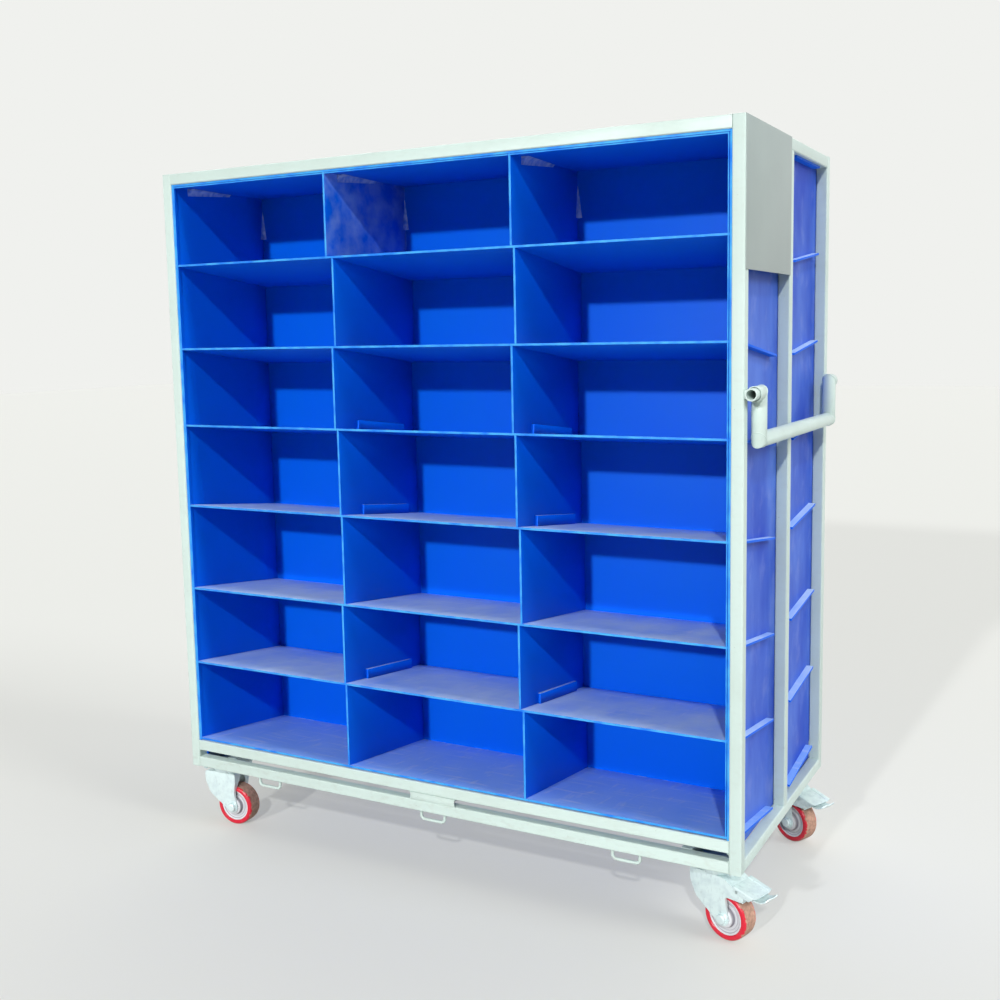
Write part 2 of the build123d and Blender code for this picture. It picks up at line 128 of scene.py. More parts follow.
def makePowderCoat(name, shade, filmAmount):
    # Powder coat on steel: satin, with orange peel, a thin film of grime and a few chips, dirtier at the base
    c = powderCoat
    material, tree, shader, coords = startMaterial(name)
    film = blotches(tree, coords, top=filmAmount, **c["filmSpots"])
    height = addNode(tree, "SeparateXYZ", (coords.outputs["Object"],)).outputs["Z"]
    dirt = addNode(tree, "MapRange", (height, corner.z + c["dirtyUpTo"] * mm, corner.z, c["dirtAbove"], 1))
    smears = whereAll(tree, dirt, blotches(tree, coords, **c["smearSpots"]))
    chipped = addNode(tree, "MapRange", (dirt, c["chipsFrom"], 1, c["chipsAbove"], 1))
    chips = whereAll(tree, chipped, blotches(tree, coords, **c["chipSpots"]))
    peel = addNode(tree, "TexNoise", {
        "Vector": coords.outputs["Object"], "Scale": 1 / (c["peel"] * mm), "Detail": c["peelDetail"]})
    roughness = addNode(tree, "MapRange", (film, 0, c["filmAmount"], c["roughness"], c["filmRoughness"]))
    setInputs(tree, shader, {
        "Base Color": layColours(tree, shade, (film, c["film"]), (smears, c["grime"]), (chips, c["chip"])),
        "Roughness": roughness, "Normal": addNode(tree, "Bump", {"Height": peel, **c["bump"]})})
    return material


blueSheet = {
    # deep is the base colour of the faces that look up. It and dust are raised as painted light on the shelf tops,
    # over real dust
    "colour": "006CFA", "haze": "0072F4", "dust": "C0DAFF", "deep": "74A8FF", "scratch": "DDE6FF",
    "edge": "4CB0F4", "edgeDark": "0C6CF0", "outer": "5880E4", "outerDeep": "1C48C6",
    "roughness": 0.46, "dustRoughness": 0.7, "shine": 0.12, "setback": 4, "edgeDepth": 1.5, "skinDepth": 1,
    "squareOn": 0.9,  # least part of the normal along an axis for a face that looks that way
    "flute": 5, "waveFactor": 20, "fluteWander": 0.3, "fluteShow": 0.1,
    "backFade": (20, 200), "shareAtBack": 0.55, "darkerBelow": (170, 340), "shareAtFoot": 0.25,
    "fillerChips": (16, 12), "hazyDivider": {"x": 597, "z": 1545, "reach": 4, "fade": 30},
    "hazeSpots": {"size": 220, "low": 0.45, "high": 0.8, "top": 0.5},
    "dividerSpots": {"size": 60, "low": 0.35, "high": 0.7, "top": 0.4},
    "dustSpots": {"size": 120, "low": 0.1, "high": 0.6, "stretch": (1, 0.5, 1), "detail": 8},
    "rubsAlong": {"size": 40, "low": 0.55, "high": 0.8, "top": 0.4, "stretch": (0.3, 2, 1), "detail": 6},
    "rubsAcross": {"size": 34, "low": 0.58, "high": 0.8, "top": 0.4, "stretch": (1.6, 0.35, 1), "detail": 6},
    "chipSpots": {"size": 30, "low": 0.6, "high": 0.63},
    "sheenSpots": {"size": 300, "low": 0.3, "high": 0.65, "stretch": (1, 1.6, 0.7)},
    "markSpots": {"size": 70, "low": 0.55, "high": 0.8, "top": 0.12, "stretch": (1, 1, 0.8), "detail": 6},
    "edgeSpots": {"size": 45, "low": 0.4, "high": 0.7, "top": 0.8, "detail": 6},
    "waviness": {"size": 60, "low": 0.2, "high": 0.8, "detail": 2},
    "bump": {"Strength": 0.25, "Distance": 1.2 * mm}}


def looksAlong(tree, facing):  # 1 on faces that look along an axis, either way
    return addNode(tree, "Math", (distanceFrom(tree, facing, 0), blueSheet["squareOn"]),
                   operation="GREATER_THAN")


def makeBlueSheet(name, outerFaces=False):
    # Fluted polypropylene sheet: saturated blue, dusty and scuffed where boxes slide, with pale cut edges
    s = blueSheet
    material, tree, shader, coords = startMaterial(name)
    x, y, z = addNode(tree, "SeparateXYZ", (coords.outputs["Object"],)).outputs
    facingX, facingY, facingZ = addNode(tree, "SeparateXYZ", (coords.outputs["Normal"],)).outputs
    middle = corner.y + steel["depth"] / 2 * mm
    fromMiddle = distanceFrom(tree, y, middle)
    # The flutes show faintly through the skin, six times as wide as real ones, because finer ones don't show
    wave = addNode(tree, "TexWave", {
        "Vector": coords.outputs["Object"], "Scale": 1 / (s["flute"] * mm) / s["waveFactor"],
        "Distortion": s["fluteWander"]}, wave_type="BANDS", bands_direction="X")
    streaks = addNode(tree, "MapRange", (wave.outputs["Fac"], 0, 1, 0, s["fluteShow"]))
    divider = s["hazyDivider"]  # one divider of the top row is dusty, on the front side only
    foot = corner.z + divider["z"] * mm
    onDivider = addNode(tree, "Math", (x, corner.x + divider["x"] * mm, divider["reach"] * mm),
                        operation="COMPARE")
    patch = whereAll(
        tree, onDivider, addNode(tree, "MapRange", (z, foot, foot + divider["fade"] * mm)),
        addNode(tree, "Math", (y, middle), operation="LESS_THAN"),
        blotches(tree, coords, **s["dividerSpots"]))
    near, far = (distance * mm for distance in s["backFade"])
    low, high = (corner.z + level * mm for level in s["darkerBelow"])
    dust = whereAll(  # the pale layer thins towards the back of a shelf and on the lowest shelf, so these are darker
        tree, addNode(tree, "MapRange", (fromMiddle, near, far, s["shareAtBack"], 1)),
        addNode(tree, "MapRange", (z, low, high, s["shareAtFoot"], 1)),
        blotches(tree, coords, **s["dustSpots"]))
    near, far = (distance * mm for distance in s["fillerChips"])  # pale chips lie along the back
    chips = whereAll(tree, addNode(tree, "MapRange", (fromMiddle, near, far)),
                     blotches(tree, coords, **s["chipSpots"]))
    # Faces that look up: real dust, rubs and pale chips, over a base that paints light on the shelf tops
    dustAndLightOnTop = layColours(
        tree, s["deep"], (dust, s["dust"]), (blotches(tree, coords, **s["rubsAlong"]), s["scratch"]),
        (blotches(tree, coords, **s["rubsAcross"]), s["scratch"]), (chips, s["scratch"]))
    shelf = addNode(tree, "Math", (facingZ, s["squareOn"]), operation="GREATER_THAN")
    haze = blotches(tree, coords, **s["hazeSpots"])
    colour = layColours(tree, s["colour"], (haze, s["haze"]), (streaks, s["haze"]), (patch, s["dust"]),
                        (shelf, dustAndLightOnTop))
    # The outward faces of the side panels get a paler, violet blue with broad blotches: painted reflection of the
    # bright surroundings, with real marks laid over it
    if outerFaces:
        left, right = (point[0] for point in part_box("front_side_panels"))
        aside = distanceFrom(tree, x, (left + right) / 2)
        skinLine = (right - left) / 2 - s["skinDepth"] * mm
        outward = whereAll(tree, addNode(tree, "Math", (aside, skinLine), operation="GREATER_THAN"),
                           looksAlong(tree, facingX))
        skin = layColours(tree, s["outerDeep"], (blotches(tree, coords, **s["sheenSpots"]), s["outer"]),
                          (blotches(tree, coords, **s["markSpots"]), s["scratch"]))
        colour = layColours(tree, colour, (outward, skin))
    cutLine = (steel["depth"] / 2 - s["setback"] - s["edgeDepth"]) * mm
    cut = whereAll(tree, looksAlong(tree, facingY),
                   addNode(tree, "Math", (fromMiddle, cutLine), operation="GREATER_THAN"))
    edge = layColours(tree, s["edge"], (blotches(tree, coords, **s["edgeSpots"]), s["edgeDark"]))
    dusted = whereAll(tree, shelf, dust)
    wavy = blotches(tree, coords, **s["waviness"])
    setInputs(tree, shader, {
        "Base Color": layColours(tree, colour, (cut, edge)), "Specular IOR Level": s["shine"],
        "Roughness": addNode(tree, "MapRange", (dusted, 0, 1, s["roughness"], s["dustRoughness"])),
        "Normal": addNode(tree, "Bump", {"Height": wavy, **s["bump"]})})
    return material


zincPlate = {
    "colour": "E4F6F6", "dull": "CBDDE1", "shadow": "A3B2B8", "roughness": 0.36, "dullRoughness": 0.55,
    "metal": 0.3, "dullSpots": {"size": 20, "low": 0.4, "high": 0.75, "top": 0.8},
    "paintedShade": {"size": 9, "low": 0.58, "high": 0.75, "top": 0.35, "stretch": (1, 1, 0.5)},
    "dents": {"size": 14, "low": 0, "high": 1, "detail": 2}, "bump": {"Strength": 0.15, "Distance": 0.4 * mm}}


def makeZinc(c):
    # Bright zinc plate on pressed steel: bluish white, a little cloudy, with dull fingered patches and darker
    # patches of painted shade
    material, tree, shader, coords = startMaterial("brightZincPlate")
    dull = blotches(tree, coords, **c["dullSpots"])
    shadePatch = blotches(tree, coords, **c["paintedShade"])
    dents = blotches(tree, coords, **c["dents"])
    setInputs(tree, shader, {
        "Base Color": layColours(tree, c["colour"], (dull, c["dull"]), (shadePatch, c["shadow"])),
        "Metallic": c["metal"],
        "Roughness": addNode(tree, "MapRange", (
            dull, 0, c["dullSpots"]["top"], c["roughness"], c["dullRoughness"])),
        "Normal": addNode(tree, "Bump", {"Height": dents, **c["bump"]})})
    return material


# dirt is the colour laid in the core's grooves, as dirt and painted shade
nylon = {"colour": "DEE1E5", "dull": "C9C6CF", "dirt": "777480", "roughness": 0.38,
         "smears": {"size": 14, "low": 0.5, "high": 0.8, "top": 0.5}}


def makeNylon(c):
    # Moulded nylon: off-white with a lilac cast, slightly waxy, greyed by dirt and painted shade in its grooves
    material, tree, shader, coords = startMaterial("mouldedNylonWhite")
    smears = blotches(tree, coords, **c["smears"])
    grooveDirtAndShade = addNode(tree, "Attribute", attribute_name="grooveDirtAndShade").outputs["Fac"]
    setInputs(tree, shader, {
        "Base Color": layColours(tree, c["colour"], (smears, c["dull"]), (grooveDirtAndShade, c["dirt"])),
        "Roughness": c["roughness"]})
    return material


polyurethane = {
    "fresh": "DC1634", "pale": "E8536A", "worn": "CFA28C", "wornDark": "A27E6C",
    "roughness": 0.28, "wornRoughness": 0.7, "border": (1.12, 1.04),
    "ragged": {"size": 9, "low": 0.2, "high": 0.8, "top": 0.5},
    "scuffs": {"size": 10, "low": 0.35, "high": 0.7, "detail": 6},
    "rubs": {"size": 12, "low": 0.5, "high": 0.8, "top": 0.35},
    "bump": {"Strength": 0.3, "Distance": 0.3 * mm}}


def makePolyurethane(c):
    # Cast polyurethane: clear red on the sides, and scuffed brown where it rolls, with a ragged border
    material, tree, shader, coords = startMaterial("castPolyurethaneRed")
    across, rolling = (addNode(tree, "Attribute", attribute_name=name).outputs["Fac"]
                       for name in ("across", "rolling"))
    aside = distanceFrom(tree, across, 0)
    ragged = addNode(tree, "Math", (aside, blotches(tree, coords, **c["ragged"])), operation="ADD")
    tread = whereAll(tree, rolling, addNode(tree, "MapRange", (ragged, *c["border"])))
    scuffs = blotches(tree, coords, **c["scuffs"])
    worn = layColours(tree, c["worn"], (scuffs, c["wornDark"]))
    setInputs(tree, shader, {
        "Base Color": layColours(
            tree, c["fresh"], (blotches(tree, coords, **c["rubs"]), c["pale"]), (tread, worn)),
        "Roughness": addNode(tree, "MapRange", (tread, 0, 1, c["roughness"], c["wornRoughness"])),
        "Normal": addNode(tree, "Bump", {"Height": scuffs, **c["bump"]})})
    return material


tape = {"colour": "5C86E8", "pale": "B9C8F2", "roughness": 0.35,
        "clouds": {"size": 18, "low": 0.35, "high": 0.7}}


def makeTape(c):
    # Scraps of polypropylene tape: paler and milkier than the sheet, softly shiny
    material, tree, shader, coords = startMaterial("polypropyleneTape")
    clouds = blotches(tree, coords, **c["clouds"])
    setInputs(tree, shader, {
        "Base Color": layColours(tree, c["colour"], (clouds, c["pale"])), "Roughness": c["roughness"]})
    return material


print("materials")
finishes = {
    "white_paint": makePowderCoat("powderCoatGreyWhite", powderCoat["colour"], powderCoat["filmAmount"]),
    "blue_sheet": makeBlueSheet("polypropyleneSheetBlue"), "zinc": makeZinc(zincPlate),
    "core_plastic": makeNylon(nylon), "red_tyre": makePolyurethane(polyurethane)}
finishes["bearing_steel"] = finishes["zinc"]
tapeFinish = makeTape(tape)
plateFinish = makePowderCoat("powderCoatPlate", powderCoat["plate"], powderCoat["plateFilm"])
sideFinish = makeBlueSheet("polypropyleneSheetOuter", outerFaces=True)

edgeRound = {"width": 0.35, "welded": 0.03, "ofWall": 0.15, "segments": 2, "angle": 35}
merging = {"cad": 0.005, "new": 0.001}  # vertices as close as this become one


def addRounding(piece, width):
    rounding = piece.modifiers.new("rounding", "BEVEL")
    rounding.width = width * mm
    rounding.segments = edgeRound["segments"]
    rounding.limit_method = "ANGLE"
    rounding.angle_limit = math.radians(edgeRound["angle"])
    rounding.harden_normals = True


for part in frame["record"]["subparts"]:
    node = nodes[part["node"]]
    finish = sideFinish if "side_panels" in part["node"] else finishes[part["material_slot"]]
    node.data.materials.clear()
    node.data.materials.append(plateFinish if part["node"] == "end_plate" else finish)
    for polygon in node.data.polygons:
        polygon.use_smooth = True
    weld = node.modifiers.new("weld", "WELD")
    weld.merge_threshold = merging["cad"] * mm
    welded = part["node"].endswith(("_post", "_posts", "_rail", "_rails"))  # ground flush where tubes meet
    addRounding(node, edgeRound["welded" if welded else "width"])


def finishMesh(bm, name, body, slot, matrix=Matrix.Identity(4), wall=0, sharp=35):
    bmesh.ops.remove_doubles(bm, verts=bm.verts, dist=merging["new"] * mm)
    bmesh.ops.recalc_face_normals(bm, faces=bm.faces)
    bmesh.ops.transform(bm, matrix=matrix, verts=bm.verts)
    for edge in bm.edges:
        edge.smooth = len(edge.link_faces) == 2 and edge.calc_face_angle() < math.radians(sharp)
    mesh = bpy.data.meshes.new(name)
    bm.to_mesh(mesh)
    bm.free()
    for polygon in mesh.polygons:
        polygon.use_smooth = True
    mesh.materials.append(finishes[slot])
    piece = bpy.data.objects.new(name, mesh)
    bpy.context.scene.collection.objects.link(piece)
    if wall:
        shell = piece.modifiers.new("wall", "SOLIDIFY")
        shell.thickness = wall * mm
        shell.offset = -1
        shell.use_even_offset = True
        addRounding(piece, wall * edgeRound["ofWall"])
    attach(piece, body)
    return piece


def castorMatrix(name):  # local X along the trail, Y along the axle, Z up, from the axle's middle
    spin = joints[name + "_wheel_spin"]
    across = Vector(spin["axis"])
    along = Vector((across.y, -across.x, 0))
    turn = Matrix((along, across, (0, 0, 1))).transposed()
    return Matrix.Translation(Vector(spin["pos_m"])) @ turn.to_4x4()


def vertsOf(geometry):
    return [element for element in geometry if isinstance(element, bmesh.types.BMVert)]


def quarterArc(radius, steps):  # how far a rounded corner lies in from each of its two faces
    angles = [math.pi / 2 * i / steps for i in range(steps + 1)]
    return [(radius * (1 - math.sin(angle)), radius * (1 - math.cos(angle))) for angle in angles]


def spinRing(bm, profile, steps, axis=(0, 1, 0)):  # closed profile of radius and width, turned about Y or Z
    before = set(bm.verts)
    verts = [bm.verts.new((radius * mm, width * mm * axis[1], width * mm * axis[2]))
             for radius, width in profile]
    edges = [bm.edges.new((verts[i - 1], verts[i])) for i in range(len(verts))]
    bmesh.ops.spin(bm, geom=verts + edges, cent=(0, 0, 0), axis=axis, angle=math.tau, steps=steps,
                   use_merge=True)
    return [vert for vert in bm.verts if vert not in before]


def extrudeOutline(bm, points, move):  # block from a face and its copy moved away, and gives the far corners
    face = bm.faces.new([bm.verts.new(point) for point in points])
    far = vertsOf(bmesh.ops.extrude_face_region(bm, geom=[face])["geom"])
    bmesh.ops.translate(bm, vec=move, verts=far)
    return far


def addBar(bm, radius, length, sides, matrix, edge=0):  # along local Z, with its edges rounded by edge
    bar = bmesh.ops.create_cone(bm, cap_ends=True, segments=sides, radius1=radius * mm, radius2=radius * mm,
                                depth=length * mm, matrix=matrix)["verts"]
    if edge:
        bmesh.ops.bevel(bm, geom=list({e for vert in bar for e in vert.link_edges}), offset=edge * mm,
                        segments=2, profile=0.5, affect="EDGES", material=-1)


def hexRadius(flats):  # of a hexagon's corners
    return flats / 2 / math.cos(math.pi / 6)


zAxis = (0, 0, 1)
barAlongY = Matrix.Rotation(math.pi / 2, 4, "X")  # turns a bar from Z to Y
wheel = {
    "size": 127, "width": 52, "steps": 72, "shoulder": 7, "shoulderSteps": 6, "crown": 0.6, "foot": 1.5,
    "crownHalf": 1, "rollingShare": 0.8,
    "core": (  # radius, half width and how much dirt and painted shade it gets there, from the bore to the rim
        (12.2, 33, 0), (24.5, 33, 0), (26, 31.5, 0.1), (26.3, 29, 0.5), (26.6, 23, 0.9), (28, 20.5, 0.9),
        (29, 20, 0.3), (34, 20, 0.05), (35, 18.5, 0.6), (36.5, 18.5, 0.3), (41.4, 19.5, 0.1), (42.8, 20, 0.8),
        (44, 22.6, 0), (44.8, 23, 0), (48.4, 23, 0), (48.9, 22, 0.3))}


def mirrored(half):  # closed profile from its half, given from one side towards the middle
    return half + [(radius, -width) for radius, width in reversed(half)]


def makeTyre(name, w):
    r, half, rim = w["size"] / 2, w["width"] / 2, w["core"][-1][0]
    shoulder = [(r - w["crown"] - a, half - b) for a, b in quarterArc(w["shoulder"], w["shoulderSteps"])]
    foot = [(rim, half - w["foot"]), (rim + w["foot"], half)]
    tread = [(r - w["crown"] / 3, half / 2), (r, w["crownHalf"])]
    bm = bmesh.new()
    spinRing(bm, mirrored(foot + shoulder + tread), w["steps"])
    across, rolling = (bm.verts.layers.float.new(n) for n in ("across", "rolling"))
    treadStart = (r - w["shoulder"] * w["rollingShare"]) * mm
    for vert in bm.verts:  # for the material: how far to the side a point is, and whether it rolls
        vert[across] = vert.co.y / (half * mm)
        vert[rolling] = 1 if math.hypot(vert.co.x, vert.co.z) > treadStart else 0
    tyre = finishMesh(bm, name + "Tyre", name + "_wheel", "red_tyre", castorMatrix(name))
    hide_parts(name + "_tyre")


def makeCore(name, w):
    bm = bmesh.new()
    spinRing(bm, mirrored([(radius, width) for radius, width, _ in w["core"]]), w["steps"])
    grooveDirtAndShade = bm.verts.layers.float.new("grooveDirtAndShade")
    for vert in bm.verts:  # dirt and painted shade for the material, from the nearest point of the profile
        radius = math.hypot(vert.co.x, vert.co.z) / mm
        width = abs(vert.co.y / mm)
        vert[grooveDirtAndShade] = min(w["core"], key=lambda point: abs(point[0] - radius) + abs(point[1] - width))[2]
    core = finishMesh(bm, name + "Core", name + "_wheel", "core_plastic", castorMatrix(name), sharp=50)
    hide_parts(name + "_wheel_core")


# Pressed fork. Places are (along, drop, reach): mm along the trail from the swivel axis, mm below the
# mounting plate, and how far the sheet turns inward there. The full half width reaches the fork's middle
forkShape = {"half": 38, "sheet": 4, "fold": 5, "foldSteps": 4, "axleDrop": 135.5, "trail": 38,
             "nose": 19, "noseReach": 4, "noseSteps": 12,
             "front": ((-62, 25.6, 38), (-62, 57.6, 12), (-44, 97.6, 8)),
             "back": ((46, 91.6, 10), (52, 57.6, 20), (52, 25.6, 38)),
             "hoodBack": ((46, 74.6, 9), (98, 74.6, 6), (103, 62.6, 38), (98, 57.6, 38), (42, 25.6, 38)),
             "ease": 9, "easeSteps": 5, "merge": 0.01, "digits": 3}  # digits by which corners are matched


def touchPoint(point, radius, side):  # where a straight line from a point touches the circle round the axle
    angle = math.atan2(point[1], point[0]) + side * math.acos(radius / math.hypot(point[0], point[1]))
    return angle, (radius * math.cos(angle), radius * math.sin(angle))


def eased(points, cut, steps):  # each inner corner of the path becomes a short curve
    path = [points[0]]
    longest = 0.45  # share of a side that one curve may take
    for before, here, after in zip(points, points[1:], points[2:]):
        a, p, b = Vector(before), Vector(here), Vector(after)
        start = p + (a - p) * min(longest, cut / (a - p).length)
        end = p + (b - p) * min(longest, cut / (b - p).length)
        for i in range(steps + 1):
            t = i / steps
            path.append(tuple(start * (1 - t) ** 2 + p * 2 * t * (1 - t) + end * t * t))
    return path + [points[-1]]


def makeFork(name, f):
    braked = name + "_pedal_press" in joints
    front, back = ([(x - f["trail"], f["axleDrop"] - drop, reach) for x, drop, reach in f[key]]
                   for key in ("front", "hoodBack" if braked else "back"))
    startAngle, start = touchPoint(front[-1], f["nose"], 1)
    endAngle, end = touchPoint(back[0], f["nose"], -1)
    middleTop = (0, front[0][1], f["half"])
    front = eased([middleTop] + front + [(*start, f["noseReach"])], f["ease"], f["easeSteps"])
    back = eased([(*end, f["noseReach"])] + back + [middleTop], f["ease"], f["easeSteps"])[:-1]
    turn = (endAngle - startAngle) % math.tau
    angles = [startAngle + turn * i / f["noseSteps"] for i in range(1, f["noseSteps"])]
    nose = [(f["nose"] * math.cos(angle), f["nose"] * math.sin(angle), 0) for angle in angles]
    outline = front + nose + back
    bm = bmesh.new()
    ring = [bm.verts.new((x * mm, f["half"] * mm, z * mm)) for x, z, reach in outline]
    bm.faces.new(ring)
    pairs = zip(ring, ring[1:] + ring[:1], outline, outline[1:] + outline[:1])
    rim = [bm.edges.get((a, b)) for a, b, here, after in pairs if here[2] and after[2]]
    turned = bmesh.ops.extrude_edge_only(bm, edges=rim)["geom"]
    reaches = {(round(x, f["digits"]), round(z, f["digits"])): reach for x, z, reach in outline}
    for vert in vertsOf(turned):
        vert.co.y -= reaches[(round(vert.co.x / mm, f["digits"]), round(vert.co.z / mm, f["digits"]))] * mm
    folds = [edge for edge in rim if len(edge.link_faces) == 2]
    bmesh.ops.bevel(bm, geom=folds, offset=f["fold"] * mm, offset_type="OFFSET", segments=f["foldSteps"],
                    profile=0.5, affect="EDGES", material=-1, clamp_overlap=True)
    bmesh.ops.mirror(bm, geom=bm.verts[:] + bm.edges[:] + bm.faces[:], matrix=Matrix.Identity(4),
                     merge_dist=f["merge"] * mm, axis="Y")
    fork = finishMesh(bm, name + "Fork", name + "_swivel", "zinc", castorMatrix(name), wall=f["sheet"],
                      sharp=40)
    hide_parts(name + "_fork")


axle = {"size": 12, "width": 76, "steps": 28, "washer": 32, "washerThick": 2.5, "washerEdge": 0.5,
        "dome": 27, "domeHigh": 9, "domeRound": 4, "domeSteps": 5, "domeCrown": 1,
        "thread": 14, "threadOut": 2, "threadEdge": 1, "flats": 19, "nutHigh": 8, "nutEdge": 1}


def makeAxle(name, a):
    half, r, thread = a["width"] / 2, a["size"] / 2, a["thread"] / 2
    outer = half + a["washerThick"]
    out = outer + a["nutHigh"] + a["threadOut"]
    top = outer + a["domeHigh"]
    washer = [(a["washer"] / 2, half), (a["washer"] / 2, outer - a["washerEdge"]),
              (a["washer"] / 2 - a["washerEdge"], outer)]
    arc = [(a["dome"] / 2 - inward, top - a["domeCrown"] - down)
           for down, inward in quarterArc(a["domeRound"], a["domeSteps"])]
    dome = [(a["dome"] / 2, outer)] + arc + [(0, top)]
    head = [(radius, -y) for radius, y in reversed(washer + dome)]
    threadEnd = [(thread, outer), (thread, out - a["threadEdge"]), (thread - a["threadEdge"], out), (0, out)]
    bm = bmesh.new()
    spinRing(bm, head + [(r, -half), (r, half)] + washer + threadEnd, a["steps"])
    addBar(bm, hexRadius(a["flats"]), a["nutHigh"], 6,
           Matrix.Translation((0, (outer + a["nutHigh"] / 2) * mm, 0)) @ barAlongY, a["nutEdge"])
    piece = finishMesh(bm, name + "Axle", name + "_swivel", "zinc", castorMatrix(name))
    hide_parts(name + "_axle")


# Brake pedal, with places as (along, drop) in mm from the swivel axis and the mounting plate
pedal = {"sheet": 3, "half": 41.6, "inner": (74, 34), "outer": (138, 51), "rows": 16, "corner": 9,
         "fold": 4, "foldSteps": 6, "flangeDrop": 17, "flangeEnd": 118, "flangeLeast": 0.3,
         "rib": 25, "ribDrop": 1.8, "ribSlope": 3,
         "tongue": ((112, 50), (115, 60), (123, 66), (142, 67), (158, 60), (168, 50)), "tongueHalf": 28,
         "tongueEase": 7, "tongueEaseSteps": 4, "tongueCrown": 2, "tongueRows": 8, "tipRound": 12,
         "pivot": (84, 48), "pin": 8, "pinSides": 16,
         "shoe": (72, 86), "shoeHalf": 18, "shoeRadius": 67.8, "shoeSteps": 4}


def pressSheet(columns, rows, spot):  # grid whose vertex i, j lies at spot(i, j): along, across and drop
    bm = bmesh.new()
    bmesh.ops.create_grid(bm, x_segments=columns, y_segments=rows, size=1)
    for vert in bm.verts:
        i, j = ((c + 1) / 2 * n for c, n in ((vert.co.x, columns), (vert.co.y, rows)))
        along, across, drop = spot(round(i), round(j))
        vert.co = Vector((along - forkShape["trail"], across, forkShape["axleDrop"] - drop)) * mm
    return bm


def roundedIn(distance, radius):  # how far a rounded corner draws in, at a distance from the end
    short = max(0, 1 - distance / radius)
    return radius * (1 - math.sqrt(1 - short ** 2))


def makeCover(name, p):
    (x0, d0), (x1, d1) = p["inner"], p["outer"]
    side = [(0, p["ribDrop"]), (p["rib"], p["ribDrop"]), (p["rib"] + p["ribSlope"], 0)]
    side += [(p["half"] - inward, down) for inward, down in quarterArc(p["fold"], p["foldSteps"])]
    side = [(y, drop, False) for y, drop in side] + [(p["half"], p["flangeDrop"], True)]
    section = [(-y, drop, lip) for y, drop, lip in side[:0:-1]] + side

    def coverSpot(i, j):
        across, fall, lip = section[j]
        reach = x1 - x0 - roundedIn(p["half"] - abs(across), p["corner"])
        along = x0 + reach * i / p["rows"]
        taper = min(1, max(p["flangeLeast"], (x1 - along) / (x1 - p["flangeEnd"])))
        return along, across, d0 + (d1 - d0) * (along - x0) / (x1 - x0) + fall * (taper if lip else 1)

    return finishMesh(pressSheet(p["rows"], len(section) - 1, coverSpot), name + "Pedal", name + "_pedal",
                      "zinc", castorMatrix(name), wall=p["sheet"], sharp=30)


def makeTongue(name, p):
    blade = eased([(x, drop, 0) for x, drop in p["tongue"]], p["tongueEase"], p["tongueEaseSteps"])

    def tongueSpot(i, j):
        along, drop, _ = blade[i]
        share = 2 * j / p["tongueRows"] - 1
        half = p["tongueHalf"] - roundedIn(blade[-1][0] - along, p["tipRound"])
        return along, half * share, drop - p["tongueCrown"] * share ** 2

    return finishMesh(pressSheet(len(blade) - 1, p["tongueRows"], tongueSpot), name + "PedalTongue",
                      name + "_pedal", "zinc", castorMatrix(name), wall=p["sheet"], sharp=50)


def makeShoe(name, p):
    trail, axleDrop = forkShape["trail"], forkShape["axleDrop"]
    (x0, x1), (pivotX, pivotDrop) = p["shoe"], p["pivot"]
    arc = [(x, axleDrop - math.sqrt(p["shoeRadius"] ** 2 - (x - trail) ** 2))
           for x in (x0 + (x1 - x0) * i / p["shoeSteps"] for i in range(p["shoeSteps"] + 1))]
    outline = [((x - trail) * mm, -p["shoeHalf"] * mm, (axleDrop - drop) * mm)
               for x, drop in [(x1, pivotDrop), (x0, pivotDrop)] + arc]
    bm = bmesh.new()
    extrudeOutline(bm, outline, (0, 2 * p["shoeHalf"] * mm, 0))
    pivot = Vector((pivotX - trail, 0, axleDrop - pivotDrop)) * mm
    addBar(bm, p["pin"] / 2, 2 * p["half"], p["pinSides"], Matrix.Translation(pivot) @ barAlongY)
    return finishMesh(bm, name + "PedalShoe", name + "_pedal", "zinc", castorMatrix(name))


def makePedal(name, p):
    for piece in (makeCover(name, p), makeTongue(name, p), makeShoe(name, p)):
        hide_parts(name + "_brake_pedal")


print("castors")
for castor in castors:
    makeTyre(castor, wheel)
    makeCore(castor, wheel)
    makeFork(castor, forkShape)
    makeAxle(castor, axle)
    if castor + "_pedal_press" in joints:
        makePedal(castor, pedal)

# Bent rod loops under the base rails, with a weld bead round each end: mm out from the rod, and up
loop = {"rod": 9, "width": 87, "drop": 32, "bend": 12, "bendSteps": 8, "sides": 16, "in": 16,
        "shares": (0.1675, 0.496, 0.826),  # places along the width of the frame
        "bead": ((-0.5, 0), (3, 0), (2.1, -1.2), (0.8, -3), (-0.5, -3.5)), "beadSteps": 14}


